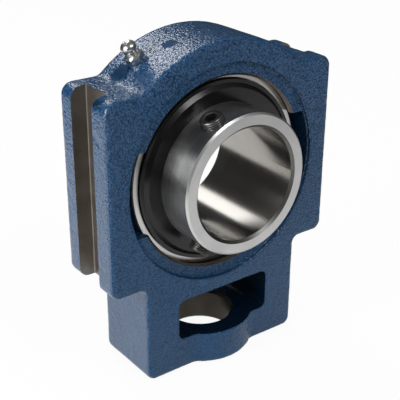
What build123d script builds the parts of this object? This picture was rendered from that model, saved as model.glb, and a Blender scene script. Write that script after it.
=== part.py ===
from build123d import *
import math
import os

# Take-up bearing unit for a 50 mm shaft, in millimetres.
# The origin is the bearing centre, +Z is up and the shaft lies along Y.
# The grub screw side is the front and faces -Y. The unit stands on its screw end.

# Insert bearing
shaft_bore = 50.0
ball_diameter = 12.7
ball_count = 10
ring_wall = 3.65  # ring metal behind the bottom of each ball groove
inner_shoulder = 2.6  # groove depth beside the balls on the inner ring
outer_shoulder = 2.55  # groove depth beside the balls on the outer ring
inner_osculation = 0.52  # groove radius over ball diameter
outer_osculation = 0.525
race_clearance = 0.02  # radial play between a ball and each groove
outer_ring_width = 24.0
inner_front = 32.6  # ball plane to the long face of the inner ring
inner_rear = 19.0  # ball plane to the short face
bore_chamfer = 1.2
ring_chamfer = 0.8
outer_corner = 0.4  # bevel between the sphere and each side face
grease_slot_offset = 6.5  # grease groove around the outer ring, behind the balls
grease_slot_width = 2.4
grease_slot_depth = 0.5
grease_hole = 1.8
grease_hole_angles = [90, 270]

# Seals and flingers
seal_recess_depth = 3.2  # side face to the shoulder that seats the seal
seal_step = 2.05  # recess radius over the shoulder beside the balls
snap_depth = 0.5
snap_width = 0.85
seal_sheet = 0.7
lip_gap = 0.06  # lip to the turning ring
lip_width = 2.1
lip_height = 1.5
lip_cover = 2.6  # how far the rubber laps over the sheet
lip_taper = 0.5
sheet_gap = 0.05
flinger_sheet = 0.9
flinger_proud = 3.0  # flat of the flinger in front of the outer ring's face
flinger_step = 1.5  # how far its rim lies behind the flat
flinger_collar = 3.4
flinger_gap = 0.45  # rim to the outer ring
flinger_flat = 5.9  # radial width of the flat
flinger_slope = 1.7  # radial width of the shoulder
flinger_bend = 0.3  # how far the inner bends sit in from the outer ones

# Cage
cage_width = 4.6  # radial
pocket_clearance = 0.1
cage_front = 2.6  # finger tips in front of the ball plane
cage_back = 7.3
cage_gap = 2.6  # slot between the fingers of neighbouring pockets
cage_gap_depth = 3.0

# Grub screws
screw_diameter = 10.0
screw_length = 9.0
screw_setback = 7.2  # front face to the screw axis
screw_clearance = 0.03
screw_tip_gap = 0.15  # tip to the bore, backed out as delivered
screw_socket = 5.0
socket_depth = 4.5
screw_first_angle = 114.6  # from +X towards +Z
screw_spacing = 120.0
screw_mouth = 0.5
screw_point = 1.6
screw_end_chamfer = 0.6
cup_rim = 0.4

# Housing
seat_clearance = 0.05
arch_wall = 13.95  # seat to the round top
side_wall = 5.95  # seat to the bottom of a guide groove
groove_depth = 7.5
groove_width = 16.0
groove_corner = 0.6
rail_length = 86.0
body_width = 83.0
housing_depth = 37.0
window_bridge = 9.95  # seat to the top of the nut window
window_height = 19.0
window_length = 49.0
window_corner = 3.0
end_wall = 16.0
screw_bore = 29.0
screw_bore_chamfer = 1.4
boss_diameter = 49.0
boss_blend = 4.0
recess_wall = 3.15  # seat to the wall of the face recess
recess_depth = 2.2
recess_round = 0.8
recess_blend = 1.0
mouth_chamfer = 1.3
notch_height = 37.5
notch_inset = 0.3
grease_groove_width = 10.0
grease_groove_depth = 1.2
grease_groove_offset = 3.0
front_round = 2.0
rear_round = 4.0
rail_top_corner = 5.5
rail_foot_corner = 4.4
arch_blend = 5.0
foot_blend = 3.0
end_corner = 4.2

# Grease nipple
nipple_angle = 122.0
nipple_shank = 6.0
nipple_shank_length = 7.0
nipple_shank_gap = 0.02
nipple_hex = 7.0
nipple_hex_height = 3.4
nipple_collar = 0.6
nipple_head = 6.6
nipple_neck = 4.3
nipple_height = 10.8
nipple_head_drop = 2.3  # top of the nipple to the widest part of its head
nipple_head_rise = (0.5, 1)  # way in which the head's curve leaves the neck
nipple_head_close = (-1, 0.35)  # way in which it ends at the top
nipple_mouth = 1.7
nipple_chamber = 2.9
nipple_ball_diameter = 2.5
nipple_ball_gap = 0.02
nipple_mouth_depth = 0.9
nipple_floor = 2.6  # spring seat above the housing
nipple_travel = 0.8
head_rim = 0.5
head_neck_drop = 2.2
spring_room = 0.15
spring_wire = 0.3
spring_turns = 5
wire_sides = 6  # round enough at this size
grease_duct = 3.0

# Working values
past = 1.0  # how far a cutter reaches beyond what it opens
near = 0.01  # closeness for picking edges

# Sizes that follow
inner_race = shaft_bore / 2 + ring_wall
pitch_radius = inner_race + ball_diameter / 2
outer_race = pitch_radius + ball_diameter / 2
sphere_radius = outer_race + ring_wall
inner_radius = inner_race + inner_shoulder
outer_land = outer_race - outer_shoulder
half_width = outer_ring_width / 2
seal_recess = outer_land + seal_step
seal_seat = half_width - seal_recess_depth
rim_radius = seal_recess - flinger_gap
seat_radius = sphere_radius + seat_clearance
arch_radius = seat_radius + arch_wall
groove_root = seat_radius + side_wall
rail_half = groove_root + groove_depth
window_top = -(seat_radius + window_bridge)
window_floor = window_top - window_height
end_face = window_floor - end_wall
front_face = -housing_depth / 2
recess_floor = front_face + recess_depth
screw_plane = screw_setback - inner_front
screw_tip = shaft_bore / 2 + screw_tip_gap
screw_angles = [screw_first_angle, screw_first_angle + screw_spacing]


def revolved(points):
    """Solid of revolution about the shaft from (radius, y) points."""
    profile = make_face(Polyline(*[(r, y, 0) for r, y in points], close=True))
    return revolve(profile, Axis.Y)


def radial(angle, radius, y=0):
    """Plane square to a radius, with its normal pointing outwards."""
    a = math.radians(angle)
    out = Vector(math.cos(a), 0, math.sin(a))
    return Plane(origin=out * radius + Vector(0, y, 0), x_dir=(0, 1, 0), z_dir=out)


def ball_groove(bottom, groove_radius, side):
    """Ring that cuts a ball groove; side is +1 for the outer ring, -1 for the inner."""
    centre = bottom - side * groove_radius
    return revolve(Pos(centre, 0) * Circle(groove_radius), Axis.Y)


def outline_corners(sketch, x, z):
    return sketch.vertices().filter_by(lambda v: abs(abs(v.X) - x) < near and abs(v.Y - z) < near)


def housing_outline():
    arch = Circle(arch_radius) & Pos(0, arch_radius / 2) * Rectangle(2 * rail_half, arch_radius)
    block = Pos(0, end_face / 2) * Rectangle(body_width, -end_face)
    sketch = arch + Rectangle(2 * rail_half, rail_length) + block
    top = rail_length / 2
    shoulder = math.sqrt(arch_radius ** 2 - top ** 2)
    corners = [
        (rail_half, top, rail_top_corner),
        (rail_half, -top, rail_foot_corner),
        (shoulder, top, arch_blend),
        (body_width / 2, -top, foot_blend),
        (body_width / 2, end_face, end_corner),
    ]
    for x, z, radius in corners:
        sketch = fillet(outline_corners(sketch, x, z), radius)
    return sketch


def casting_edges(body, side, y_face):
    """Outer edges of the front (side -1) or rear (side +1) face, with the screw boss's foot."""
    blend_reach = boss_diameter / 2

    def wanted(edge):
        middle = edge @ 0.5
        ends = [edge @ 0, edge @ 1, middle]
        on_face = all(abs(p.Y - y_face) < near for p in ends)
        by_boss = abs(middle.X) < blend_reach and end_face + near < middle.Z < window_top
        on_foot = all(abs(p.Z - end_face) < near for p in ends)
        boss_foot = on_foot and side * (middle.Y - y_face) > near
        return (on_face and not by_boss) or boss_foot

    return body.edges().filter_by(wanted)


def housing_blank():
    """Casting before machining: outline, screw boss and rounded edges."""
    body = extrude(Plane.XZ * housing_outline(), amount=housing_depth / 2, both=True)
    boss_place = (Align.CENTER, Align.CENTER, Align.MIN)
    body += Pos(0, 0, end_face) * Cylinder(boss_diameter / 2, end_wall, align=boss_place)
    chord = math.sqrt((boss_diameter / 2) ** 2 - front_face ** 2)
    wall_middle = end_face + end_wall / 2
    creases = body.edges().filter_by(
        lambda e: abs(abs(e.center().X) - chord) < near
        and abs(abs(e.center().Y) + front_face) < near
        and abs(e.center().Z - wall_middle) < near
    )
    body = fillet(creases, boss_blend)
    body = fillet(casting_edges(body, -1, front_face), front_round)
    return fillet(casting_edges(body, 1, -front_face), rear_round)


def ring_recess(side):
    """Round recess in the front or rear face around the bearing, with soft edges."""
    floor_y = side * -recess_floor
    face_y = side * -front_face
    wall = seat_radius + recess_wall
    open_y = face_y + side * past
    points = [
        (0, floor_y),
        (wall - recess_blend, floor_y),
        (wall, floor_y + side * recess_blend),
        (wall, face_y - side * recess_round),
        (wall + recess_round, face_y),
        (wall + recess_round, open_y),
        (0, open_y),
    ]
    with BuildSketch() as profile:
        with BuildLine():
            Line(points[0], points[1])
            RadiusArc(points[1], points[2], side * -recess_blend)
            Line(points[2], points[3])
            RadiusArc(points[3], points[4], side * recess_round)
            Polyline(*points[4:], points[0])
        make_face()
    return revolve(profile.sketch, Axis.Y)


def on_seat(y):
    """Point of the seat's profile at this distance along the shaft."""
    return (math.sqrt(seat_radius ** 2 - y ** 2), y)


def seat_arc(y_from, y_to):
    return ThreePointArc(on_seat(y_from), on_seat((y_from + y_to) / 2), on_seat(y_to))


def seat_cut():
    """Spherical seat with its mouth bevels and the grease groove."""
    bevel_y = recess_floor + mouth_chamfer
    mouth = on_seat(bevel_y)[0] + mouth_chamfer
    groove_y = grease_groove_offset - grease_groove_width / 2
    groove_end = grease_groove_offset + grease_groove_width / 2
    deep = seat_radius + grease_groove_depth
    with BuildSketch() as profile:
        with BuildLine():
            Polyline((0, recess_floor), (mouth, recess_floor), on_seat(bevel_y))
            seat_arc(bevel_y, groove_y)
            Polyline(on_seat(groove_y), (deep, groove_y), (deep, groove_end), on_seat(groove_end))
            seat_arc(groove_end, -bevel_y)
            Polyline(on_seat(-bevel_y), (mouth, -recess_floor), (0, -recess_floor), (0, recess_floor))
        make_face()
    return revolve(profile.sketch, Axis.Y)


def loading_notches():
    """Slots at both sides of the mouth through which the insert goes in edgewise."""
    reach = seat_radius + recess_wall - notch_inset
    disc = revolved([(0, recess_floor), (reach, recess_floor), (reach, 0), (0, 0)])
    slot = Pos(0, recess_floor / 2, 0) * Box(3 * seat_radius, -recess_floor, notch_height)
    return disc & slot


def guide_grooves():
    """Machined slots in both rails, open at the top and bottom."""
    tall = 2 * (arch_radius - end_face)
    for side in (-1, 1):
        middle = side * (groove_root + groove_depth)
        slot = Pos(middle, 0, 0) * Box(2 * groove_depth, groove_width, tall)
        roots = slot.edges().filter_by(Axis.Z).sort_by(lambda e: abs(e.center().X))[0:2]
        yield fillet(roots, groove_corner)


def screw_end():
    """Nut window through the block and the bore for the adjusting screw."""
    middle = (window_top + window_floor) / 2
    window = Box(window_length, 3 * housing_depth, window_height)
    window = Pos(0, 0, middle) * fillet(window.edges().filter_by(Axis.Y), window_corner)
    bevel = screw_bore / 2 + screw_bore_chamfer
    bore = Pos(0, 0, end_face + end_wall / 2) * Cylinder(screw_bore / 2, 2 * end_wall)
    up = (Align.CENTER, Align.CENTER, Align.MIN)
    for face, way in ((end_face, 1), (window_floor, -1)):
        cone = Cone(bevel, screw_bore / 2, screw_bore_chamfer, align=up)
        if way < 0:
            cone = Rot(180, 0, 0) * cone
        bore += Pos(0, 0, face) * cone
    return window + bore


def nipple_hole():
    """Threaded hole for the nipple and the duct down to the grease groove."""
    down = (Align.CENTER, Align.CENTER, Align.MAX)
    place = radial(nipple_angle, arch_radius)
    hole = Cylinder(nipple_shank / 2, nipple_shank_length + past, align=down)
    duct = Cylinder(grease_duct / 2, arch_wall + past, align=down)
    mouth = Pos(0, 0, nipple_shank_length) * Cylinder(nipple_shank / 2, nipple_shank_length, align=down)
    return place * (hole + duct + mouth)


def housing():
    body = housing_blank()
    for side in (-1, 1):
        body -= ring_recess(side)
    body = body - seat_cut() - loading_notches()
    for slot in guide_grooves():
        body -= slot
    return body - screw_end() - nipple_hole()


def outer_ring():
    """Ball race with a round outside, seal recesses and the grease groove with its holes."""
    corner = math.sqrt(sphere_radius ** 2 - (half_width - outer_corner) ** 2)
    snap = seal_recess + snap_depth
    step = seal_seat + snap_width
    with BuildSketch() as profile:
        with BuildLine():
            start = (corner, -(half_width - outer_corner))
            end = (corner, half_width - outer_corner)
            ThreePointArc(start, (sphere_radius, 0), end)
            Polyline(
                end,
                (corner - outer_corner, half_width),
                (seal_recess, half_width),
                (seal_recess, step),
                (snap, step),
                (snap, seal_seat),
                (outer_land, seal_seat),
                (outer_land, -seal_seat),
                (snap, -seal_seat),
                (snap, -step),
                (seal_recess, -step),
                (seal_recess, -half_width),
                (corner - outer_corner, -half_width),
                start,
            )
        make_face()
    ring = revolve(profile.sketch, Axis.Y)
    ring -= ball_groove(outer_race + race_clearance, outer_osculation * ball_diameter, 1)
    groove_bottom = sphere_radius - grease_slot_depth
    groove_start = grease_slot_offset - grease_slot_width / 2
    groove_end = grease_slot_offset + grease_slot_width / 2
    outside = sphere_radius + past
    ring -= revolved([
        (groove_bottom, groove_start),
        (outside, groove_start),
        (outside, groove_end),
        (groove_bottom, groove_end),
    ])
    for angle in grease_hole_angles:
        hole = Cylinder(grease_hole / 2, 2 * (sphere_radius - outer_land))
        ring -= radial(angle, (sphere_radius + outer_land) / 2, grease_slot_offset) * hole
    return ring


def inner_ring():
    """Long inner ring with bevelled ends and the two holes for the grub screws."""
    bore = shaft_bore / 2
    ring = revolved([
        (bore + bore_chamfer, -inner_front),
        (inner_radius - ring_chamfer, -inner_front),
        (inner_radius, -inner_front + ring_chamfer),
        (inner_radius, inner_rear - ring_chamfer),
        (inner_radius - ring_chamfer, inner_rear),
        (bore + bore_chamfer, inner_rear),
        (bore, inner_rear - bore_chamfer),
        (bore, -inner_front + bore_chamfer),
    ])
    ring -= ball_groove(inner_race - race_clearance, inner_osculation * ball_diameter, -1)
    hole_radius = screw_diameter / 2 + screw_clearance
    for angle in screw_angles:
        place = radial(angle, inner_radius, screw_plane)
        hole = Cylinder(hole_radius, 2 * screw_length)
        mouth = Cone(hole_radius, hole_radius + 2 * screw_mouth, 2 * screw_mouth)
        ring -= place * (hole + mouth)
    return ring


def grub_screw(angle):
    """Hexagon socket set screw with a cup point, standing proud as delivered."""
    screw = Cylinder(screw_diameter / 2, screw_length, align=(Align.CENTER, Align.CENTER, Align.MIN))
    ends = screw.edges().filter_by(GeomType.CIRCLE).sort_by(Axis.Z)
    screw = chamfer(ends[0], screw_point)
    ends = screw.edges().filter_by(GeomType.CIRCLE).sort_by(Axis.Z)
    screw = chamfer(ends[-1], screw_end_chamfer)
    hexagon = RegularPolygon(screw_socket / 2, 6, major_radius=False)
    socket = extrude(hexagon, amount=-socket_depth)
    screw -= Pos(0, 0, screw_length) * socket
    cup_radius = screw_diameter / 2 - screw_point - cup_rim
    screw -= Cone(cup_radius, 0, cup_radius, align=(Align.CENTER, Align.CENTER, Align.MIN))
    return radial(angle, screw_tip, screw_plane) * screw


def ball_place(index):
    angle = 2 * math.pi * index / ball_count
    return Pos(pitch_radius * math.cos(angle), 0, pitch_radius * math.sin(angle))


def ball(index):
    return ball_place(index) * Sphere(ball_diameter / 2)


def cage():
    """Snap cage: a ring behind the balls with open pockets that hold them."""
    inside = pitch_radius - cage_width / 2
    outside = pitch_radius + cage_width / 2
    ring = revolved([
        (inside, -cage_front),
        (outside, -cage_front),
        (outside, cage_back),
        (inside, cage_back),
    ])
    pocket = Sphere(ball_diameter / 2 + pocket_clearance)
    for index in range(ball_count):
        ring -= ball_place(index) * pocket
        between = (index + 0.5) * 360 / ball_count
        gap = Box(2 * cage_gap_depth, cage_gap, 2 * cage_width)
        ring -= radial(between, pitch_radius, -cage_front) * gap
    return ring


def seal_case(side):
    """Sheet steel disc of the seal, snapped into the outer ring against its shoulder."""
    rim = seal_recess + snap_depth - sheet_gap
    hub = inner_radius + lip_gap + lip_height
    outer = seal_seat + seal_sheet
    return revolved([(r, side * y) for r, y in [
        (hub, seal_seat), (rim, seal_seat), (rim, outer), (hub, outer),
    ]])


def seal_lip(side):
    """Rubber lip around the hub of the disc, lapping over its outer face."""
    tip = inner_radius + lip_gap
    hub = tip + lip_height
    sheet = seal_seat + seal_sheet
    outer = seal_seat + lip_width
    return revolved([(r, side * y) for r, y in [
        (tip, seal_seat + lip_width / 2), (tip + lip_taper, seal_seat), (hub, seal_seat), (hub, sheet),
        (hub + lip_cover, sheet), (hub, outer - lip_taper), (tip + lip_taper, outer),
    ]])


def flinger(side):
    """Pressed disc that turns with the inner ring in front of the seal."""
    flat = half_width + flinger_proud
    rim = flat - flinger_step
    knee = inner_radius + flinger_flat
    foot = knee + flinger_slope
    sheet = flinger_sheet
    return revolved([(r, side * y) for r, y in [
        (inner_radius, flat),
        (knee, flat),
        (foot, rim),
        (rim_radius, rim),
        (rim_radius, rim - sheet),
        (foot - flinger_bend, rim - sheet),
        (knee - flinger_bend, flat - sheet),
        (inner_radius + sheet, flat - sheet),
        (inner_radius + sheet, flat - flinger_collar),
        (inner_radius, flat - flinger_collar),
    ]])


def nipple_axis():
    return radial(nipple_angle, arch_radius)


def nipple_body():
    """Screwed-in grease nipple: shank, hexagon, neck and round head with its passage."""
    up = (Align.CENTER, Align.CENTER, Align.MIN)
    hex_top = nipple_collar + nipple_hex_height
    head_z = nipple_height - nipple_head_drop
    neck = nipple_neck / 2
    head = nipple_head / 2
    tip = nipple_mouth / 2 + head_rim
    foot = nipple_hex / 2
    neck_top = (neck, head_z - head_neck_drop)
    ways = [nipple_head_rise, nipple_head_close]
    with BuildSketch(Plane.XZ) as profile:
        with BuildLine():
            Polyline((0, 0), (foot, 0), (foot, nipple_collar), (neck, hex_top), neck_top)
            Spline(neck_top, (head, head_z), (tip, nipple_height), tangents=ways)
            Polyline((tip, nipple_height), (0, nipple_height), (0, 0))
        make_face()
    turned = revolve(profile.sketch, Axis.Z)
    hexagon = extrude(RegularPolygon(nipple_hex / 2, 6, major_radius=False), amount=nipple_hex_height)
    corner = nipple_hex / 2 / math.cos(math.pi / 6)
    rounding = Cylinder(corner, nipple_hex_height, align=up)
    rims = rounding.edges().filter_by(GeomType.CIRCLE)
    hexagon = Pos(0, 0, nipple_collar) * (hexagon & chamfer(rims, corner - nipple_hex / 2))
    down = (Align.CENTER, Align.CENTER, Align.MAX)
    shank = Cylinder(nipple_shank / 2 - nipple_shank_gap, nipple_shank_length, align=down)
    seat_z = nipple_height - nipple_mouth_depth
    bored = Pos(0, 0, nipple_floor) * Cylinder(nipple_chamber / 2, seat_z - nipple_floor, align=up)
    passage = Cylinder(nipple_mouth / 2, 2 * (nipple_height + nipple_shank_length))
    return nipple_axis() * (turned + hexagon + shank - bored - passage)


def check_ball_height():
    """Height of the check ball's centre over the housing, shut against its seat."""
    seat_z = nipple_height - nipple_mouth_depth
    radius = nipple_ball_diameter / 2 + nipple_ball_gap
    return seat_z - math.sqrt(radius ** 2 - (nipple_mouth / 2) ** 2)


def nipple_ball():
    return nipple_axis() * Pos(0, 0, check_ball_height()) * Sphere(nipple_ball_diameter / 2)


def nipple_spring():
    """Coil spring under the check ball, clear of its seat by more than the ball's travel."""
    coil = nipple_chamber / 2 - spring_wire / 2 - spring_room
    bottom = nipple_floor + nipple_travel + spring_wire
    contact = nipple_ball_diameter / 2 + spring_wire / 2
    top = check_ball_height() - math.sqrt(contact ** 2 - coil ** 2) - nipple_ball_gap
    height = top - bottom
    path = Helix(height / spring_turns, height, coil)
    start = Plane(origin=path @ 0, z_dir=path % 0)
    section = RegularPolygon(spring_wire / 2, wire_sides)
    wire = sweep(start * section, path=path)
    return nipple_axis() * Pos(0, 0, bottom) * wire


def build_nodes():
    nodes = {
        "housing": housing(),
        "nipple_body": nipple_body(),
        "nipple_ball": nipple_ball(),
        "nipple_spring": nipple_spring(),
        "outer_ring": outer_ring(),
        "inner_ring": inner_ring(),
        "cage": cage(),
    }
    for index in range(ball_count):
        nodes[f"ball_{index + 1:02d}"] = ball(index)
    for name, side in (("front", -1), ("rear", 1)):
        nodes[f"seal_case_{name}"] = seal_case(side)
        nodes[f"seal_lip_{name}"] = seal_lip(side)
        nodes[f"flinger_{name}"] = flinger(side)
    for number, angle in enumerate(screw_angles, 1):
        nodes[f"grub_screw_{number}"] = grub_screw(angle)
    return nodes


def main():
    os.makedirs("parts", exist_ok=True)
    for name, shape in build_nodes().items():
        export_step(shape, f"parts/{name}.step")


main()
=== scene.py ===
import math

import bmesh
import bpy
from mathutils import Matrix, Vector, noise


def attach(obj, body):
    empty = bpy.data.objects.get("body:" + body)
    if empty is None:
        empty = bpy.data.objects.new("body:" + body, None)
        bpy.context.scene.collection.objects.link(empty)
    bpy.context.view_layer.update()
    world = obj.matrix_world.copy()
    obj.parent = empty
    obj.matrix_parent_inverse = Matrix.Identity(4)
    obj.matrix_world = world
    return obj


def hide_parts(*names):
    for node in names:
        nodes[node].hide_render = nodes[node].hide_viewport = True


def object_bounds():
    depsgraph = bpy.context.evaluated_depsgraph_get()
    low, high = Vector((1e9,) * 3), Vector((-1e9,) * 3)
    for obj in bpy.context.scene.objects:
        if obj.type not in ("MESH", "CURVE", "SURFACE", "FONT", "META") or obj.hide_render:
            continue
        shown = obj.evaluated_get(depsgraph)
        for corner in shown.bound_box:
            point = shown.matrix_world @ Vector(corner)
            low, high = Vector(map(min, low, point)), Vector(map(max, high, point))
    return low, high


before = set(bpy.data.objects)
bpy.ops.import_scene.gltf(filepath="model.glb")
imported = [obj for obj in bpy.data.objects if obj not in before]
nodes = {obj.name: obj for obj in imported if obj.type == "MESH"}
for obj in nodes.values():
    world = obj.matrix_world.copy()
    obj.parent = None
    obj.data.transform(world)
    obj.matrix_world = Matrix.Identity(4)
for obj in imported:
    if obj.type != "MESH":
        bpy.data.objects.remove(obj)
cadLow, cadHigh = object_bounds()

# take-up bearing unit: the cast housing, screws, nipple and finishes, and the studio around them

scene = bpy.context.scene

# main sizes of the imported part, in metres
bearing = {
    "seatRadius": 0.04505,
    "mouthRadius": 0.04378,
    "mouthBevel": 0.0013,
    "recessFloor": 0.0163,
    "recessRadius": 0.0482,
    "slotRoot": 0.051,
    "slotHalf": 0.008,
    "railSide": 0.0585,
    "railTop": 0.043,
    "screwBore": 0.0145,
    "screwBevel": 0.0014,
    "archRadius": 0.059,
    "windowFloor": -0.074,
    "windowTop": -0.0545,
    "windowHalf": 0.0256,
    "footLevel": cadLow[2],
    "ringFront": cadLow[1],
    "ringRear": 0.019,
    "shaftRadius": 0.025,
    "balls": 10,
}


# helpers for shader nodes

def feed(tree, socket, value):
    # value is another node's output, a number, or a colour or place of three numbers
    if isinstance(value, (int, float)):
        socket.default_value = value
    elif isinstance(value, tuple):
        socket.default_value = value if len(socket.default_value) == 3 else (*value, 1)
    else:
        tree.links.new(value, socket)


def newNode(tree, kind, **settings):
    # a setting is a socket of the node or else one of its own properties
    node = tree.nodes.new(kind)
    for key, value in settings.items():
        if key in node.inputs:
            feed(tree, node.inputs[key], value)
        else:
            setattr(node, key, value)
    return node


def join(tree, source, target):
    tree.links.new(source, target)


def mathNode(tree, operation, a, b=None, clamp=False):
    node = newNode(tree, "ShaderNodeMath", operation=operation, use_clamp=clamp)
    for socket, value in zip(node.inputs, (a, b)):
        if value is not None:
            feed(tree, socket, value)
    return node.outputs[0]


def weighted(tree, *parts):
    # sum of sources, each with its share
    shares = [mathNode(tree, "MULTIPLY", source, share) for source, share in parts]
    total = shares[0]
    for share in shares[1:]:
        total = mathNode(tree, "ADD", total, share)
    return total


def remainder(tree, source, share):
    # what a source leaves of 1 when it takes this share
    return mathNode(tree, "SUBTRACT", 1.0, mathNode(tree, "MULTIPLY", source, share))


def varied(tree, tone, middle, spread):
    # middle where the tone is 0.5, and half of the spread to each side of it
    return mathNode(tree, "ADD", mathNode(tree, "MULTIPLY", tone, spread), middle - spread / 2)


def fade(tree, source, start, end, low, high):
    node = newNode(tree, "ShaderNodeMapRange", Value=source)
    for label, value in zip(("From Min", "From Max", "To Min", "To Max"), (start, end, low, high)):
        node.inputs[label].default_value = value
    return node.outputs[0]


def ramp(tree, source, stops, smooth=False):
    node = newNode(tree, "ShaderNodeValToRGB")
    node.color_ramp.interpolation = "EASE" if smooth else "LINEAR"
    while len(node.color_ramp.elements) < len(stops):
        node.color_ramp.elements.new(0.5)
    for element, (position, colour) in zip(node.color_ramp.elements, stops):
        element.position = position
        element.color = (*colour, 1) if isinstance(colour, tuple) else (colour, colour, colour, 1)
    join(tree, source, node.inputs[0])
    return node.outputs[0]


def mixColour(tree, factor, a, b):
    node = newNode(tree, "ShaderNodeMix", data_type="RGBA")
    for number, value in ((0, factor), (6, a), (7, b)):
        feed(tree, node.inputs[number], value)
    return node.outputs[2]


def noiseAt(tree, place, scale, **settings):
    return newNode(tree, "ShaderNodeTexNoise", Vector=place, Scale=scale, **settings).outputs[0]


def splitPlace(tree, place):
    return newNode(tree, "ShaderNodeSeparateXYZ", Vector=place).outputs


def newGroup(name, inputs, outputs):
    group = bpy.data.node_groups.new(name, "ShaderNodeTree")
    for label, value in inputs:
        kind = "NodeSocketVector" if isinstance(value, tuple) else "NodeSocketFloat"
        socket = group.interface.new_socket(label, in_out="INPUT", socket_type=kind)
        socket.default_value = value
    for label in outputs:
        group.interface.new_socket(label, in_out="OUTPUT", socket_type="NodeSocketFloat")
    return group, newNode(group, "NodeGroupInput"), newNode(group, "NodeGroupOutput")


def placeGroup(tree, group, **values):
    node = newNode(tree, "ShaderNodeGroup", node_tree=group)
    for key, value in values.items():
        feed(tree, node.inputs[key], value)
    return node.outputs


def newMaterial(name, **shaderValues):
    material = bpy.data.materials.new(name)
    material.use_nodes = True
    tree = material.node_tree
    shader = tree.nodes["Principled BSDF"]
    for key, value in shaderValues.items():
        feed(tree, shader.inputs[key.replace("_", " ")], value)
    return material, tree, shader


def addBump(tree, shader, height, strength, distance):
    bump = newNode(tree, "ShaderNodeBump", Height=height, Strength=strength, Distance=distance)
    join(tree, bump.outputs[0], shader.inputs["Normal"])


# effects that several materials share

sandCast = {
    "warpShare": 0.40,
    "gritShare": 0.20,
    "domeShare": 0.30,
    "domeFall": 1.6,  # how fast a grain falls away from its top
    "domeBlend": 0.35,  # how softly neighbouring grains meet
    "gritScale": 2.6,  # both scales are multiples of the grains' own
    "poolScale": 0.13,
    "poolReach": 0.3,
    "poolEdge": (0.62, 0.74),
    "poolFlat": 0.9,
}


def makeCastSkin():
    # sand cast surface under thick paint: pebbles, fine grain and smoother pools
    group, given, out = newGroup(
        "castSkin",
        [("Vector", (0.0, 0.0, 0.0)), ("Pebble", 700.0), ("Pools", 0.5)],
        ["Height", "Tone", "Pool"],
    )
    place, pebble = given.outputs["Vector"], given.outputs["Pebble"]
    warp = noiseAt(group, place, pebble, Detail=1.0)
    # sand grains under the paint are small domes of uneven size
    grain = newNode(group, "ShaderNodeTexVoronoi", voronoi_dimensions="3D", feature="SMOOTH_F1",
                    Smoothness=sandCast["domeBlend"], Vector=place, Scale=pebble)
    gap = grain.outputs["Distance"]
    dome = remainder(group, mathNode(group, "MULTIPLY", gap, gap), sandCast["domeFall"])
    gritScale = mathNode(group, "MULTIPLY", pebble, sandCast["gritScale"])
    grit = noiseAt(group, place, gritScale, Detail=2.0, Roughness=0.6)
    poolScale = mathNode(group, "MULTIPLY", pebble, sandCast["poolScale"])
    broad = noiseAt(group, place, poolScale, Detail=3.0, Roughness=0.5)
    shift = mathNode(group, "MULTIPLY", given.outputs["Pools"], sandCast["poolReach"])
    start, full = sandCast["poolEdge"]
    pool = ramp(group, mathNode(group, "ADD", broad, shift), [(start, 0.0), (full, 1.0)], smooth=True)
    tone = weighted(group, (warp, sandCast["warpShare"]), (grit, sandCast["gritShare"]),
                    (dome, sandCast["domeShare"]))
    height = mathNode(group, "MULTIPLY", tone, remainder(group, pool, sandCast["poolFlat"]))
    for label, value in (("Height", height), ("Tone", tone), ("Pool", pool)):
        join(group, value, out.inputs[label])
    return group


toolGrooves = {
    "fineShare": 0.45,
    "broadShare": 0.55,
}


def makeToolMarks():
    # fine grooves that a cutter or wheel leaves, stacked along one measure
    group, given, out = newGroup(
        "toolMarks",
        [("Vector", (0.0, 0.0, 0.0)), ("Along", 0.0), ("Pitch", 4000.0), ("Blotch", 90.0)],
        ["Height", "Tone"],
    )
    fine = newNode(group, "ShaderNodeTexNoise", noise_dimensions="1D", W=given.outputs["Along"],
                   Scale=given.outputs["Pitch"], Detail=4.0, Roughness=0.7).outputs[0]
    broad = noiseAt(group, given.outputs["Vector"], given.outputs["Blotch"], Detail=3.0, Roughness=0.55)
    tone = weighted(group, (fine, toolGrooves["fineShare"]), (broad, toolGrooves["broadShare"]))
    join(group, fine, out.inputs["Height"])
    join(group, tone, out.inputs["Tone"])
    return group


def makeAroundShaft():
    # distance from the shaft's axis, place along it and height, for parts turned about Y
    group, given, out = newGroup(
        "aroundShaft",
        [("Vector", (0.0, 0.0, 0.0))],
        ["Radius", "Depth", "Height"],
    )
    across, depth, height = splitPlace(group, given.outputs["Vector"])
    square = mathNode(group, "ADD", mathNode(group, "MULTIPLY", across, across),
                      mathNode(group, "MULTIPLY", height, height))
    radius = mathNode(group, "SQRT", square)
    for label, value in (("Radius", radius), ("Depth", depth), ("Height", height)):
        join(group, value, out.inputs[label])
    return group


castSkin = makeCastSkin()
toolMarks = makeToolMarks()
aroundShaft = makeAroundShaft()
print("shader groups ready")


# paint

paint = {
    "deep": (0.005, 0.033, 0.086),
    "mid": (0.012, 0.055, 0.130),
    "pale": (0.034, 0.084, 0.178),
    "pool": (0.008, 0.050, 0.125),
    "toneStops": (0.36, 0.50, 0.64),  # where deep, mid and pale stand
    "toneMiddle": 0.43,
    "paintedTopLight": 0.10,  # painted light: how much paler the grainy top is painted than the foot
    "smoothBelow": -0.07,
    "grainyAbove": 0.03,
    "footGrain": 0.35,
    "roughSpread": 0.2,
    # middle and reach of each smooth puddle
    "puddles": (
        ((-0.0176, -0.0023, 0.0563), 0.0034),
        ((-0.0370, 0.0045, 0.0460), 0.0055),
        ((-0.0560, -0.0090, 0.0420), 0.0040),
    ),
    "puddleWaver": 1.2,
    "puddleEdge": (0.75, 0.95),
    "puddleRough": 0.6,
    "puddleFlat": 0.9,
}


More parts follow.
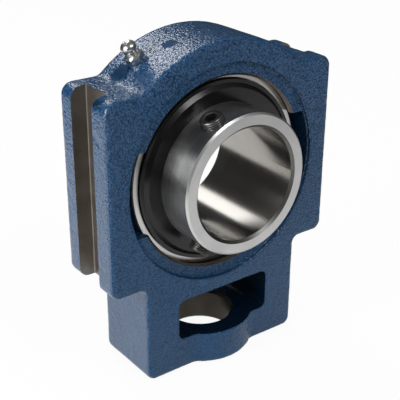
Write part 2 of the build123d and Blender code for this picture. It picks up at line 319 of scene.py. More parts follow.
def puddleMask(tree, place, tone):
    # where thick paint ran together and hid the sand
    inside, outside = paint["puddleEdge"]
    waver = varied(tree, tone, 0.0, paint["puddleWaver"])
    spots = []
    for middle, reach in paint["puddles"]:
        gap = newNode(tree, "ShaderNodeVectorMath", operation="DISTANCE")
        join(tree, place, gap.inputs[0])
        gap.inputs[1].default_value = middle
        share = mathNode(tree, "DIVIDE", gap.outputs["Value"], reach)
        spots.append(ramp(tree, mathNode(tree, "ADD", share, waver), [(inside, 1.0), (outside, 0.0)]))
    mask = spots[0]
    for spot in spots[1:]:
        mask = mathNode(tree, "MAXIMUM", mask, spot)
    return mask


def paintMaterial(name, pebble, depth, pools, roughness, gloss, darken=1.0):
    material, tree, shader = newMaterial(name, Specular_IOR_Level=gloss)
    place = newNode(tree, "ShaderNodeTexCoord").outputs["Object"]
    skin = placeGroup(tree, castSkin, Vector=place, Pebble=pebble, Pools=pools)
    # darken scales all four colours down: the painted shade of hollows
    deep, mid, pale, pool = (tuple(c * darken for c in paint[key]) for key in ("deep", "mid", "pale", "pool"))
    # the sand shows most at the top and the foot of the casting is smoother; besides, the top is painted
    # paler, a painted light, and the foot deeper, a painted shade
    level = placeGroup(tree, aroundShaft, Vector=place)["Height"]
    grain = fade(tree, level, paint["smoothBelow"], paint["grainyAbove"], paint["footGrain"], 1.0)
    speck = mathNode(tree, "MULTIPLY", mathNode(tree, "SUBTRACT", skin["Tone"], 0.5), grain)
    # painted light: the grainy top is lifted towards the pale colour
    speck = mathNode(tree, "ADD", speck, mathNode(tree, "MULTIPLY", grain, paint["paintedTopLight"]))
    stops = list(zip(paint["toneStops"], (deep, mid, pale)))
    colour = ramp(tree, mathNode(tree, "ADD", speck, paint["toneMiddle"]), stops)
    colour = mixColour(tree, skin["Pool"], colour, mid)
    puddle = puddleMask(tree, place, skin["Tone"])
    join(tree, mixColour(tree, puddle, colour, pool), shader.inputs["Base Color"])
    rough = varied(tree, skin["Tone"], roughness, paint["roughSpread"])
    rough = mathNode(tree, "MAXIMUM", rough, mathNode(tree, "MULTIPLY", puddle, paint["puddleRough"]))
    join(tree, puddle, shader.inputs["Metallic"])
    join(tree, rough, shader.inputs["Roughness"])
    height = mathNode(tree, "MULTIPLY", skin["Height"], grain)
    flat = remainder(tree, puddle, paint["puddleFlat"])
    addBump(tree, shader, mathNode(tree, "MULTIPLY", height, flat), 1.0, depth)
    return material


paintFace = paintMaterial("paintFace", pebble=1100, depth=0.0016, pools=0.10, roughness=0.26, gloss=0.30)
paintFlank = paintMaterial("paintFlank", pebble=950, depth=0.0005, pools=0.10, roughness=0.13, gloss=1.0)
# painted shade: the recess wall and the notches get the paint darkened to 0.45, for the shade in these
# hollows
paintRecessShaded = paintMaterial("paintRecessShaded", pebble=800, depth=0.0002, pools=0.3, roughness=0.30, gloss=0.22,
                            darken=0.45)
# painted shade: the window's inside gets the paint darkened to 0.14, for the shade inside the opening
paintWindowShaded = paintMaterial("paintWindowShaded", pebble=900, depth=0.0009, pools=0.1, roughness=0.35, gloss=0.05,
                            darken=0.14)


# metals

turning = {
    "blotch": 90.0,
    "bump": 0.5,
    "toneStops": (0.3, 0.7),
    "lowShadeFull": -0.017,  # levels where the painted shade on the low side of a bore is full, and where it ends
    "lowShadeEnd": -0.009,
}


def turnedMetal(name, dark, light, along, pitch, depth, roughness, spread=0.12, metallic=1.0, paintedLowShade=None,
                **more):
    # along is Radius, Depth or Height: the measure that the marks follow
    # a darker colour can be painted on the low side of a bore, a painted shade that dims the lamp's
    # reflection there
    material, tree, shader = newMaterial(name, Metallic=metallic, **more)
    place = newNode(tree, "ShaderNodeTexCoord").outputs["Object"]
    measure = placeGroup(tree, aroundShaft, Vector=place)
    marks = placeGroup(tree, toolMarks, Vector=place, Along=measure[along], Pitch=pitch,
                       Blotch=turning["blotch"])
    colour = ramp(tree, marks["Tone"], list(zip(turning["toneStops"], (dark, light))))
    if paintedLowShade:
        # painted shade: darker towards the bottom of the bore
        low = fade(tree, measure["Height"], turning["lowShadeFull"], turning["lowShadeEnd"], 1.0, 0.0)
        colour = mixColour(tree, low, colour, paintedLowShade)
    join(tree, colour, shader.inputs["Base Color"])
    join(tree, varied(tree, marks["Tone"], roughness, spread), shader.inputs["Roughness"])
    addBump(tree, shader, marks["Height"], turning["bump"], depth)
    if "Anisotropic" in more:
        # the marks run round the shaft, so each highlight stretches along it
        around = newNode(tree, "ShaderNodeTangent", direction_type="RADIAL", axis="Y")
        join(tree, around.outputs[0], shader.inputs["Tangent"])
    return material


# name, dark and light colour, measure and pitch of the marks, their depth, roughness
ringFace = turnedMetal("ringFace", (0.48, 0.48, 0.48), (0.66, 0.66, 0.65), "Radius", 9000, 0.000004, 0.42)
ringOutside = turnedMetal("ringOutside", (0.16, 0.16, 0.16), (0.56, 0.56, 0.56), "Depth", 2000, 0.000012,
                          0.36, Anisotropic=0.8, Anisotropic_Rotation=0.25)
# the bore is painted darker on its low side, a painted shade that dims the lamp's reflection there
ringBore = turnedMetal("ringBore", (0.36, 0.345, 0.32), (0.47, 0.455, 0.425), "Depth", 9000, 0.000003, 0.22,
                       spread=0.06, paintedLowShade=(0.185, 0.180, 0.168), Anisotropic=0.6, Anisotropic_Rotation=0.25)
ringEdge = turnedMetal("ringEdge", (0.56, 0.56, 0.55), (0.72, 0.72, 0.71), "Radius", 9000, 0.000002, 0.36)
# painted shade: the bevels at the bore are much darker than the other bevels, which dims the lamp's glint on
# them
ringLipShaded = turnedMetal("ringLipShaded", (0.10, 0.10, 0.095), (0.20, 0.20, 0.19), "Radius", 9000, 0.000002, 0.42)
flingerSkin = turnedMetal("flingerSkin", (0.003, 0.003, 0.003), (0.008, 0.008, 0.008), "Radius", 5000,
                          0.000004, 0.24, metallic=0.0, Specular_IOR_Level=0.40)
outerFace = turnedMetal("outerFace", (0.50, 0.49, 0.47), (0.68, 0.67, 0.65), "Radius", 8000, 0.000003, 0.30)
sheetSteel = turnedMetal("sheetSteel", (0.20, 0.20, 0.20), (0.32, 0.32, 0.32), "Radius", 5000, 0.000003,
                         0.35)
slotMetal = turnedMetal("slotMetal", (0.19, 0.17, 0.15), (0.36, 0.33, 0.30), "Height", 3500, 0.000008, 0.40)
boreMetal = turnedMetal("boreMetal", (0.05, 0.042, 0.035), (0.11, 0.10, 0.088), "Height", 5000, 0.000006,
                        0.34)
seatMetal = turnedMetal("seatMetal", (0.14, 0.11, 0.09), (0.28, 0.24, 0.21), "Depth", 5000, 0.000006, 0.36)
blackOxide = turnedMetal("blackOxide", (0.09, 0.087, 0.084), (0.18, 0.176, 0.17), "Radius", 4000, 0.000003,
                         0.34, metallic=0.9)
# painted shade: the inside of the hex socket is near black, for the shade in the hollow
screwSocketShaded = turnedMetal("screwSocketShaded", (0.015, 0.015, 0.015), (0.035, 0.034, 0.033), "Radius", 4000,
                          0.000003, 0.40, metallic=0.6)
zincPlate = turnedMetal("zincPlate", (0.52, 0.52, 0.51), (0.69, 0.69, 0.68), "Height", 3000, 0.000004, 0.30)
polishedBall = turnedMetal("polishedBall", (0.74, 0.74, 0.75), (0.82, 0.82, 0.83), "Radius", 900, 0.0000005,
                           0.08, spread=0.04)
springWire = turnedMetal("springWire", (0.45, 0.45, 0.45), (0.60, 0.60, 0.60), "Height", 9000, 0.000001, 0.25)


# rubber and nylon

polymer = {
    "toneStops": (0.3, 0.7),
    "roughSpread": 0.2,
    "bump": 0.6,
}


def grainedPolymer(name, dark, light, scale, depth, roughness):
    material, tree, shader = newMaterial(name)
    place = newNode(tree, "ShaderNodeTexCoord").outputs["Object"]
    grain = noiseAt(tree, place, scale, Detail=5.0, Roughness=0.65)
    colour = ramp(tree, grain, list(zip(polymer["toneStops"], (dark, light))))
    join(tree, colour, shader.inputs["Base Color"])
    join(tree, varied(tree, grain, roughness, polymer["roughSpread"]), shader.inputs["Roughness"])
    addBump(tree, shader, grain, polymer["bump"], depth)
    return material


sealRubber = grainedPolymer("sealRubber", (0.012, 0.012, 0.012), (0.030, 0.030, 0.030), 2200, 0.00003, 0.55)
cageNylon = grainedPolymer("cageNylon", (0.62, 0.57, 0.45), (0.76, 0.71, 0.60), 900, 0.00002, 0.45)
print("materials ready")


# mesh helpers

def cleanMesh(name, points, faces):
    mesh = bpy.data.meshes.new(name)
    mesh.from_pydata(points, [], faces)
    work = bmesh.new()
    work.from_mesh(mesh)
    bmesh.ops.remove_doubles(work, verts=work.verts, dist=1e-7)
    bmesh.ops.recalc_face_normals(work, faces=work.faces)
    work.to_mesh(mesh)
    work.free()
    return mesh


def turnsOf(sides):
    return [2 * math.pi * k / sides for k in range(sides)]


def lathe(name, profile, sides, place, closed=True):
    # profile is a run of (radius, along), and place puts one of them at an angle
    count = len(profile)
    points, faces = [], []
    for k, turn in enumerate(turnsOf(sides)):
        points += [place(radius, along, turn) for radius, along in profile]
        here, after = k * count, (k + 1) % sides * count
        faces += [(here + i, after + i, after + (i + 1) % count, here + (i + 1) % count)
                  for i in range(count if closed else count - 1)]
    return cleanMesh(name, points, faces)


def aboutShaft(radius, along, angle):
    return (radius * math.cos(angle), along, radius * math.sin(angle))


def aboutScrew(radius, along, angle):
    return (radius * math.cos(angle), radius * math.sin(angle), along)


def prism(name, outline, place):
    # place turns an outline point and an end, 0 or 1, into a point in space
    count = len(outline)
    points = [place(a, b, end) for end in (0, 1) for a, b in outline]
    faces = [tuple(range(count)), tuple(range(2 * count - 1, count - 1, -1))]
    faces += [(i, i + count, (i + 1) % count + count, (i + 1) % count) for i in range(count)]
    return cleanMesh(name, points, faces)


def ringStack(name, rings, low, high):
    # rings hold a radius and a height at each turn, and a point at low and at high closes the ends
    sides = len(rings[0])
    turns = turnsOf(sides)
    points = [(r * math.cos(t), r * math.sin(t), z) for ring in rings for t, (r, z) in zip(turns, ring)]
    last = (len(rings) - 1) * sides
    points += [(0, 0, low), (0, 0, high)]
    faces = []
    for k in range(sides):
        after = (k + 1) % sides
        faces += [(row + k, row + after, row + sides + after, row + sides + k)
                  for row in range(0, last, sides)]
        faces.append((after, k, last + sides))
        faces.append((last + k, last + after, last + sides + 1))
    return cleanMesh(name, points, faces)


def radialFrame(angle, reach, along=0.0):
    # height points away from the shaft at this angle, and the first measure lies along the shaft
    turn = math.radians(angle)
    out = Vector((math.cos(turn), 0, math.sin(turn)))
    shaft = Vector((0, 1, 0))
    third = out.cross(shaft)
    place = out * reach + shaft * along
    return Matrix((
        (shaft.x, third.x, out.x, place.x),
        (shaft.y, third.y, out.y, place.y),
        (shaft.z, third.z, out.z, place.z),
        (0, 0, 0, 1),
    ))


def hexRadius(angle, half):
    sector = math.radians(60)
    return half / math.cos((angle % sector) - sector / 2)


def arc(across, up, radius, start, end, steps=8):
    turns = [math.radians(start + (end - start) * i / steps) for i in range(steps + 1)]
    return [(across + radius * math.cos(t), up + radius * math.sin(t)) for t in turns]


def applied(piece):
    graph = bpy.context.evaluated_depsgraph_get()
    mesh = bpy.data.meshes.new_from_object(piece.evaluated_get(graph))
    piece.modifiers.clear()
    piece.data = mesh
    return mesh


def shadeSmooth(mesh, crease):
    # edges that turn by more than crease, in degrees, stay sharp
    for polygon in mesh.polygons:
        polygon.use_smooth = True
    mesh.set_sharp_from_angle(angle=math.radians(crease))


def newPiece(name, mesh):
    piece = bpy.data.objects.new(name, mesh)
    scene.collection.objects.link(piece)
    return piece


# grease nipple: round head, short neck and a small hexagon on a painted boss

nipple = {
    "angle": 122.0,
    "boss": 0.0040,
    "bossTop": 0.0014,
    "bossFoot": -0.0040,
    "sides": 72,
    # the hexagon's upper corners are turned off to a cone, with this radius at this height
    "coneRadius": 0.0034,
    "coneHeight": 0.0046,
    "coneSlope": 1.7,
    "crease": 35,
    # height and radius of each ring from the foot up, and whether it belongs to the hexagon
    "rings": (
        (-0.0040, 0.0028, False), (0.0019, 0.0028, False), (0.0019, 0.0033, True), (0.0022, 0.0035, True),
        (0.0040, 0.0035, True), (0.0043, 0.0035, True), (0.0046, 0.0035, True), (0.0049, 0.0031, False),
        (0.0052, 0.0026, False), (0.0054, 0.0022, False), (0.0059, 0.0020, False), (0.0063, 0.0021, False),
        (0.0068, 0.0027, False), (0.0075, 0.0031, False), (0.0081, 0.0033, False), (0.0089, 0.0033, False),
        (0.0095, 0.0030, False), (0.0101, 0.0025, False), (0.0105, 0.0019, False), (0.0108, 0.0013, False),
        (0.0108, 0.0010, False), (0.0106, 0.00085, False), (0.0099, 0.00085, False),
        (0.0099, 0.00145, False), (0.0026, 0.00145, False),
    ),
}


def nippleReach(turn, height, radius, hexagon):
    if not hexagon:
        return radius
    cone = nipple["coneRadius"] + nipple["coneSlope"] * (nipple["coneHeight"] - height)
    return min(hexRadius(turn, radius), cone)


def nippleBoss():
    reach, foot, top = nipple["boss"], nipple["bossFoot"], nipple["bossTop"]
    profile = [(0, foot), (reach, foot), (reach, top), (0, top)]
    mesh = lathe("nippleBoss", profile, sides=48, place=aboutScrew)
    mesh.transform(radialFrame(nipple["angle"], bearing["archRadius"]))
    return mesh


def makeNipple():
    turns = turnsOf(nipple["sides"])
    rings = [[(nippleReach(t, *ring), ring[0]) for t in turns] for ring in nipple["rings"]]
    mesh = ringStack("greaseNipple", rings, nipple["rings"][0][0], nipple["rings"][-1][0])
    mesh.transform(radialFrame(nipple["angle"], bearing["archRadius"]))
    shadeSmooth(mesh, nipple["crease"])
    mesh.materials.append(zincPlate)
    piece = newPiece("greaseNipple", mesh)
    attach(piece, "housing")
    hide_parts("nipple_body")
    print("grease nipple ready")


# housing: a wavy sand casting, then the cuts of the machine shop

casting = {
    "grid": 0.0007,
    "topCorner": 0.0055,
    "footCorner": 0.0044,
    "notchReach": 0.0479,
    "notchHalf": 0.01875,
    "grooveDepth": 0.0012,
    "grooveFrom": -0.002,
    "grooveTo": 0.008,
    "slotCorner": 0.0006,
    "waves": ((0.011, 0.00016), (0.004, 0.00012), (0.0020, 0.00016)),  # size of a wave and its depth
    "plugOver": 0.0003,  # how far a plug fills the blank past the cut that follows
    "plugOverlap": 0.001,  # how far the plug of a slot reaches into the metal behind it
    "cutPast": 0.003,  # how far a cut starts outside the metal
    "borePast": 0.0005,  # the same for the screw's bore
    "slotPast": 0.02,  # the same for the ends of a slot
    "seatSteps": 18,
    "crease": 25,
}
# how faces are sorted: reach is in metres, and lean goes from 0 on a side to 1 facing front or rear
zoning = {
    "near": 0.0001,  # room for error on a face that was cut
    "waved": 0.0004,  # the same on a wavy cast face
    "beside": 0.0006,  # the same where a bevel or the recess floor begins
    "windowDip": 0.0007,  # the same under the window's floor
    "boreLean": 0.95,  # here from 0 on the bore's wall to 1 on the block's end
    "bevelLean": (0.5, 0.9),
    "wallLean": 0.5,
    "faceLean": 0.6,
}
castingFinish = {
    "face": paintFace,
    "flank": paintFlank,
    "wall": paintRecessShaded,
    "window": paintWindowShaded,
    "slot": slotMetal,
    "bore": boreMetal,
    "seat": seatMetal,
}
castingZones = list(castingFinish)
cutZones = {"wall", "slot", "bore", "seat"}


def railOutline(side):
    inner = bearing["slotRoot"] - casting["plugOverlap"]
    rail, top = bearing["railSide"], bearing["railTop"]
    low, high = casting["footCorner"], casting["topCorner"]
    outline = [(inner, -top)] + arc(rail - low, low - top, low, -90, 0)
    outline += arc(rail - high, top - high, high, 0, 90) + [(inner, top)]
    return [(side * across, up) for across, up in outline]


def fillers():
    # plugs for what the machine shop cuts, so that the casting starts whole
    over = casting["plugOver"]
    floor, reach = bearing["recessFloor"], bearing["recessRadius"] - zoning["near"]
    profile = [(0, -floor), (reach, -floor), (reach, floor), (0, floor)]
    yield lathe("seatPlug", profile, sides=128, place=aboutShaft)
    half = bearing["slotHalf"] + over
    for side in (-1, 1):
        yield prism("slotPlug", railOutline(side), lambda a, b, end: (a, half * (2 * end - 1), b))
    bore = bearing["screwBore"] + bearing["screwBevel"] + over
    low, high = bearing["footLevel"], bearing["windowFloor"]
    profile = [(0, low), (bore, low), (bore, high), (0, high)]
    yield lathe("borePlug", profile, sides=64, place=aboutScrew)
    yield nippleBoss()


def castBlank():
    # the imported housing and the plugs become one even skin
    work = bmesh.new()
    work.from_mesh(nodes["housing"].data)
    bmesh.ops.remove_doubles(work, verts=work.verts, dist=1e-6)
    for plug in fillers():
        work.from_mesh(plug)
    mesh = bpy.data.meshes.new("castHousing")
    work.to_mesh(mesh)
    work.free()
    piece = newPiece("castHousing", mesh)
    grid = piece.modifiers.new("grid", "REMESH")
    grid.mode = "VOXEL"
    grid.voxel_size = casting["grid"]
    return piece, applied(piece)


def roughen(mesh):
    # every wave goes into the metal, so the casting stays inside its sizes
    work = bmesh.new()
    work.from_mesh(mesh)
    bmesh.ops.smooth_vert(work, verts=work.verts, factor=0.5,
                          use_axis_x=True, use_axis_y=True, use_axis_z=True)
    work.normal_update()
    for vertex in work.verts:
        depth = 0
        for number, (size, reach) in enumerate(casting["waves"]):
            spot = vertex.co / size + Vector((7, 3, 1)) * number  # each wave starts elsewhere
            depth += reach * (0.5 + 0.5 * noise.noise(spot))
        vertex.co -= vertex.normal * depth
    work.to_mesh(mesh)
    work.free()


def onSeat(along):
    return (math.sqrt(bearing["seatRadius"] ** 2 - along ** 2), along)


def seatProfile():
    floor, mouth, past = bearing["recessFloor"], bearing["mouthRadius"], casting["cutPast"]
    start = floor - bearing["mouthBevel"]
    low, high = casting["grooveFrom"], casting["grooveTo"]
    deep = bearing["seatRadius"] + casting["grooveDepth"]
    steps = casting["seatSteps"]
    profile = [(0, -floor - past), (mouth, -floor - past), (mouth, -floor)]
    profile += [onSeat(-start + (low + start) * i / steps) for i in range(steps + 1)]
    profile += [(deep, low), (deep, high)]
    profile += [onSeat(high + (start - high) * i / steps) for i in range(steps + 1)]
    return profile + [(mouth, floor), (mouth, floor + past), (0, floor + past)]


def notchOutline():
    reach = casting["notchReach"]
    half = math.degrees(math.asin(casting["notchHalf"] / reach))
    right = arc(0, 0, reach, -half, half, steps=24)
    return right + arc(0, 0, reach, 180 - half, 180 + half, steps=24)


def slotOutline(side):
    root, half, corner = bearing["slotRoot"], bearing["slotHalf"], casting["slotCorner"]
    outside = bearing["railSide"] + casting["cutPast"]
    outline = [(outside, -half)] + arc(root + corner, corner - half, corner, 270, 180)
    outline += arc(root + corner, half - corner, corner, 180, 90) + [(outside, half)]
    return [(side * across, along) for across, along in outline]


def shopCuts():
    front = -bearing["recessFloor"] - casting["cutPast"]
    yield lathe("seatCut", seatProfile(), sides=192, place=aboutShaft)
    yield prism("notchCut", notchOutline(), lambda a, b, end: (a, front * (1 - end), b))
    tall = bearing["railTop"] + casting["slotPast"]
    for side in (-1, 1):
        yield prism("slotCut", slotOutline(side), lambda a, b, end: (a, b, tall * (2 * end - 1)))
    bore, bevel, past = bearing["screwBore"], bearing["screwBevel"], casting["borePast"]
    low, high = bearing["footLevel"], bearing["windowFloor"]
    profile = [(0, low - past), (bore + bevel + past, low - past), (bore, low + bevel)]
    profile += [(bore, high - bevel), (bore + bevel + past, high + past), (0, high + past)]
    yield lathe("boreCut", profile, sides=128, place=aboutScrew)


def machine(piece):
    for cut in shopCuts():
        tool = newPiece(cut.name, cut)
        step = piece.modifiers.new("cut", "BOOLEAN")
        step.operation = "DIFFERENCE"
        step.solver = "MANIFOLD"
        step.object = tool
        applied(piece)
        bpy.data.objects.remove(tool)
    return piece.data


def housingZone(centre, normal):
    # the place of a face and the way it looks tell which tool or paint finished it
    near, waved, beside = zoning["near"], zoning["waved"], zoning["beside"]
    away = math.hypot(centre.x, centre.z)
    around = math.hypot(centre.x, centre.y)
    depth, lean = abs(centre.y), abs(normal.y)
    if abs(centre.x) > bearing["slotRoot"] - near and depth < bearing["slotHalf"] + near / 2:
        return "slot"
    inBore = around < bearing["screwBore"] + bearing["screwBevel"] + beside
    if inBore and centre.z < bearing["windowFloor"] + near and abs(normal.z) < zoning["boreLean"]:
        return "bore"
    onSphere = abs(centre.length - bearing["seatRadius"]) < near
    least, most = zoning["bevelLean"]
    onBevel = away < bearing["mouthRadius"] + waved and least < lean < most
    if depth < bearing["recessFloor"] + near and (onSphere or onBevel):
        return "seat"
    below = depth < bearing["recessFloor"] - beside
    if away < bearing["recessRadius"] + waved and (lean < zoning["wallLean"] or below):
        return "wall"
    inSpan = abs(centre.x) < bearing["windowHalf"]
    inHeight = bearing["windowFloor"] - zoning["windowDip"] < centre.z < bearing["windowTop"]
    if inSpan and inHeight and lean < zoning["faceLean"]:
        return "window"
    return "face" if lean > zoning["faceLean"] else "flank"


def dressCasting(mesh):
    mesh.materials.clear()
    for material in castingFinish.values():
        mesh.materials.append(material)
    work = bmesh.new()
    work.from_mesh(mesh)
    work.normal_update()
    for polygon in work.faces:
        zone = housingZone(polygon.calc_center_median(), polygon.normal)
        polygon.material_index = castingZones.index(zone)
        polygon.smooth = True
    crease = math.radians(casting["crease"])
    for edge in work.edges:
        if len(edge.link_faces) != 2:
            continue
        zones = {castingZones[polygon.material_index] for polygon in edge.link_faces}
        cutEdge = len(zones) > 1 and zones & cutZones
        corner = zones <= cutZones and edge.calc_face_angle() > crease
        edge.smooth = not (cutEdge or corner)
    work.to_mesh(mesh)
    work.free()


def makeCasting():
    piece, blank = castBlank()
    roughen(blank)
    mesh = machine(piece)
    mesh.name = "castHousing"
    dressCasting(mesh)
    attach(piece, "housing")
    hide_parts("housing")
    print("casting ready with", len(mesh.polygons), "faces")


# grub screws with their threads

grubScrew = {
    "radius": 0.005,
    "length": 0.009,
    "pitch": 0.001,
    "threadDepth": 0.00062,
    "threadFlank": 1.5,  # steepness of the thread's sides
    "threadCrest": 0.25,  # share of the sides' rise that stays flat on top
    "point": 0.0016,
    "endBevel": 0.0006,
    "cupRim": 0.0004,
    "socketHalf": 0.0025,
    "socketDepth": 0.0045,
    "socketLead": 0.0003,
    "socketCone": 0.0008,
    "socketCorner": 1.16,  # reach of the socket's corners over its flats
    "tip": 0.02515,
    "plane": -0.0254,
    "angles": (114.6, 234.6),
    "sides": 96,
    "rows": 90,
    "crease": 40,
}


def threadRadius(height, turn):
    g = grubScrew
    wave = (height / g["pitch"] - turn) % 1
    fall = min(1, max(0, abs(2 * wave - 1) * g["threadFlank"] - g["threadCrest"]))
    crest = g["radius"] - g["threadDepth"] * fall
    pointed = g["radius"] - g["point"] + height
    bevelled = g["radius"] - g["endBevel"] + g["length"] - height
    return min(crest, pointed, bevelled)


def grubScrewMesh(name):
    g = grubScrew
    turns = turnsOf(g["sides"])
    cup = g["radius"] - g["point"] - g["cupRim"]
    rings = [[(cup, 0)] * g["sides"]]
    for row in range(g["rows"] + 1):
        height = g["length"] * row / g["rows"]
        rings.append([(threadRadius(height, t / (2 * math.pi)), height) for t in turns])
    top, lead, half, deep = g["length"], g["socketLead"], g["socketHalf"], g["socketDepth"]
    for over, height in ((lead, top), (0, top - lead), (0, top - deep)):
        rings.append([(hexRadius(t, half) + over, height) for t in turns])
    return ringStack(name, rings, cup, top - deep - g["socketCone"])


def inSocket(centre, place):
    local = place.inverted() @ centre
    reach = grubScrew["socketHalf"] * grubScrew["socketCorner"]
    return math.hypot(local.x, local.y) < reach and local.z < grubScrew["length"] - grubScrew["socketLead"]


def makeGrubScrews():
    for number, angle in enumerate(grubScrew["angles"], 1):
        mesh = grubScrewMesh(f"threadedScrew_{number}")
        place = radialFrame(angle, grubScrew["tip"], grubScrew["plane"])
        mesh.transform(place)
        shadeSmooth(mesh, grubScrew["crease"])
        mesh.materials.append(blackOxide)
        mesh.materials.append(screwSocketShaded)
        for polygon in mesh.polygons:
            polygon.material_index = 1 if inSocket(polygon.center, place) else 0
        piece = newPiece(f"threadedScrew_{number}", mesh)
        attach(piece, f"grub_screw_{number}")
        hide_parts(f"grub_screw_{number}")
    print("grub screws ready")


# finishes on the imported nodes

innerRing = {
    "bevel": 0.0013,
    "lipReach": 0.003,  # bevels nearer to the bore than this belong to its lip
    "boreReach": 0.0002,
    "frontLean": 0.95,
    "bevelLean": 0.1,
}
innerRingFinish = {
    "front": ringFace,
    "outside": ringOutside,
    "bore": ringBore,
    "edge": ringEdge,
    "lip": ringLipShaded,
}
innerRingZones = list(innerRingFinish)


def dress(name, *materials):
    slots = nodes[name].data.materials
    slots.clear()
    for material in materials:
        slots.append(material)


def innerRingZone(centre, normal):
    overBore = math.hypot(centre.x, centre.z) - bearing["shaftRadius"]
    lean = abs(normal.y)
    if lean > innerRing["frontLean"]:
        return "front"
    bevel = innerRing["bevel"]
    atEnd = centre.y < bearing["ringFront"] + bevel or centre.y > bearing["ringRear"] - bevel
    if lean > innerRing["bevelLean"] and atEnd:
        return "edge" if overBore > innerRing["lipReach"] else "lip"
    return "bore" if overBore < innerRing["boreReach"] else "outside"


def dressNodes():
    dress("inner_ring", *innerRingFinish.values())
    for polygon in nodes["inner_ring"].data.polygons:
        polygon.material_index = innerRingZones.index(innerRingZone(polygon.center, polygon.normal))
    dress("outer_ring", outerFace)
    for side in ("front", "rear"):
        dress("flinger_" + side, flingerSkin)
        dress("seal_case_" + side, sheetSteel)
        dress("seal_lip_" + side, sealRubber)
    dress("cage", cageNylon)
    for number in range(1, bearing["balls"] + 1):
        dress(f"ball_{number:02d}", polishedBall)
    dress("nipple_ball", polishedBall)
    dress("nipple_spring", springWire)
    print("packed nodes dressed")


# floor, light and camera

studio = {
    "floorSize": 6.0,
    "floorWhite": 0.82,
    "floorDrop": 0.0002,  # gap under the foot
    "floorShown": 0.93,  # share of the plain white that the camera sees on the floor
    "floorMirrored": 0.4,  # share of it that bare metal mirrors
    "worldTones": ((0.2, 0.20), (0.9, 0.62)),  # behind the object, and overhead and behind the camera
    "tableRadius": 0.42,
    "roomRadius": 2.6,
    "roomRise": 0.0005,  # height of the room's ground over the foot
    "roomWall": (6, 88),  # where the dome starts and ends, in degrees over the ground
    "roomTones": ((0.0, 0.036), (0.2, 0.045), (0.45, 0.09), (0.7, 0.153)),  # from the ground up
}
# place, size and level of each soft lamp, where level 1 looks as bright as white paper
lamps = {
    "backTop": ((0.10, 0.77, 0.72), (0.40, 0.36), 6.5),
    "frontTop": ((0.10, -0.75, 0.80), (0.34, 0.26), 13.0),
    "leftSide": ((-1.0, -0.05, 0.30), (0.5, 0.6), 9.0),
}
# found by fitting the photograph's edges
view = {
    "azimuth": 37.05,
    "elevation": 25.18,
    "roll": 0.34,
    "distance": 0.41505,
    "target": (0.00119, 0.0, -0.01995),
    "sensor": 36,
    "lens": 83.08,
    "shift": (-0.006, 0.0035),
    "clip": (0.01, 50),
}


def showBackdrop(tree, shader, glow, share=1.0, mirrorShare=1.0):
    # camera and glass rays see the plain backdrop, and mirror rays a share of it
    light = newNode(tree, "ShaderNodeLightPath")
    seen = mathNode(tree, "MAXIMUM", light.outputs["Is Camera Ray"], light.outputs["Is Transmission Ray"])
    seen = mathNode(tree, "MULTIPLY", seen, share)
    mirrored = mathNode(tree, "MULTIPLY", light.outputs["Is Glossy Ray"], mirrorShare)
    blend = newNode(tree, "ShaderNodeMixShader")
    sources = (mathNode(tree, "MAXIMUM", seen, mirrored), shader, glow)
    for source, socket in zip(sources, blend.inputs):
        join(tree, source, socket)
    return blend.outputs[0]


def makeFloor():
    half = studio["floorSize"] / 2
    level = bearing["footLevel"] - studio["floorDrop"]
    corners = [(-half, -half, level), (half, -half, level), (half, half, level), (-half, half, level)]
    mesh = bpy.data.meshes.new("floor")
    mesh.from_pydata(corners, [], [(0, 1, 2, 3)])
    floor = newPiece("floor", mesh)
    white = (studio["floorWhite"],) * 3
    material, tree, shader = newMaterial("floorPaper", Roughness=0.9, Base_Color=white)
    glow = newNode(tree, "ShaderNodeEmission", Strength=1.0, Color=(1, 1, 1))
    mixed = showBackdrop(tree, shader.outputs[0], glow.outputs[0], studio["floorShown"],
                         studio["floorMirrored"])
    join(tree, mixed, tree.nodes["Material Output"].inputs["Surface"])
    mesh.materials.append(material)


def makeRoom():
    # a dark room that only mirror rays meet, so that bare metal has something to show
    table, reach = studio["tableRadius"], studio["roomRadius"]
    ground = bearing["footLevel"] + studio["roomRise"]
    dome = arc(0, ground, reach, *studio["roomWall"], steps=14)
    profile = [(table, ground), (reach, ground)] + dome + [(0, ground + reach)]
    mesh = lathe("room", profile, sides=48, place=aboutScrew, closed=False)
    room = newPiece("room", mesh)
    material, tree, shader = newMaterial("roomCloth")
    place = newNode(tree, "ShaderNodeTexCoord").outputs["Object"]
    height = mathNode(tree, "DIVIDE", splitPlace(tree, place)[2], reach)
    glow = newNode(tree, "ShaderNodeEmission", Strength=1.0)
    join(tree, ramp(tree, height, studio["roomTones"]), glow.inputs["Color"])
    join(tree, glow.outputs[0], tree.nodes["Material Output"].inputs["Surface"])
    mesh.materials.append(material)
    for ray in ("camera", "diffuse", "transmission", "shadow"):
        setattr(room, "visible_" + ray, False)


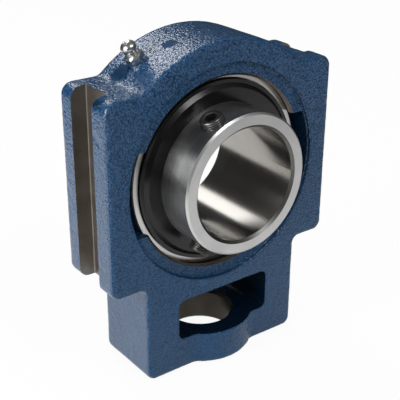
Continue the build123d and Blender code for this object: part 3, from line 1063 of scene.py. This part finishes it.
def makeWorld():
    world = bpy.data.worlds.new("studio")
    scene.world = world
    world.use_nodes = True
    tree = world.node_tree
    around = tree.nodes["Background"]
    across, along, up = splitPlace(tree, newNode(tree, "ShaderNodeTexCoord").outputs["Generated"])
    # lighter behind the camera and overhead than behind the object
    facing = mathNode(tree, "SUBTRACT", up, along)
    share = mathNode(tree, "ADD", mathNode(tree, "MULTIPLY", facing, 0.5), 0.5, clamp=True)
    join(tree, ramp(tree, share, studio["worldTones"]), around.inputs["Color"])
    shown = newNode(tree, "ShaderNodeBackground", Strength=1.0, Color=(1, 1, 1))
    mixed = showBackdrop(tree, around.outputs[0], shown.outputs[0])
    join(tree, mixed, tree.nodes["World Output"].inputs["Surface"])


def makeLights():
    # every lamp looks at the middle of the bearing
    for name, (place, size, level) in lamps.items():
        lamp = bpy.data.lights.new(name, "AREA")
        lamp.shape = "RECTANGLE"
        lamp.size, lamp.size_y = size
        lamp.energy = level * math.pi * size[0] * size[1]
        holder = bpy.data.objects.new(name, lamp)
        scene.collection.objects.link(holder)
        holder.location = place
        holder.rotation_euler = (-Vector(place)).to_track_quat("-Z", "Y").to_euler()


def makeCamera():
    azimuth, elevation, roll = (math.radians(view[key]) for key in ("azimuth", "elevation", "roll"))
    flat = math.cos(elevation)
    back = Vector((-math.sin(azimuth) * flat, -math.cos(azimuth) * flat, math.sin(elevation)))
    right = (-back).cross(Vector((0, 0, 1))).normalized()
    up = right.cross(-back)
    tilted = math.cos(roll) * right + math.sin(roll) * up
    risen = math.cos(roll) * up - math.sin(roll) * right
    place = Vector(view["target"]) + back * view["distance"]
    data = bpy.data.cameras.new("camera")
    data.sensor_width = view["sensor"]
    data.lens = view["lens"]
    data.shift_x, data.shift_y = view["shift"]
    data.clip_start, data.clip_end = view["clip"]
    camera = newPiece("camera", data)
    camera.matrix_world = Matrix((
        (tilted.x, risen.x, back.x, place.x),
        (tilted.y, risen.y, back.y, place.y),
        (tilted.z, risen.z, back.z, place.z),
        (0, 0, 0, 1),
    ))
    scene.camera = camera


makeCasting()
makeGrubScrews()
makeNipple()
dressNodes()
makeFloor()
makeRoom()
makeWorld()
makeLights()
makeCamera()
scene.view_settings.view_transform = "Standard"
print("studio ready")
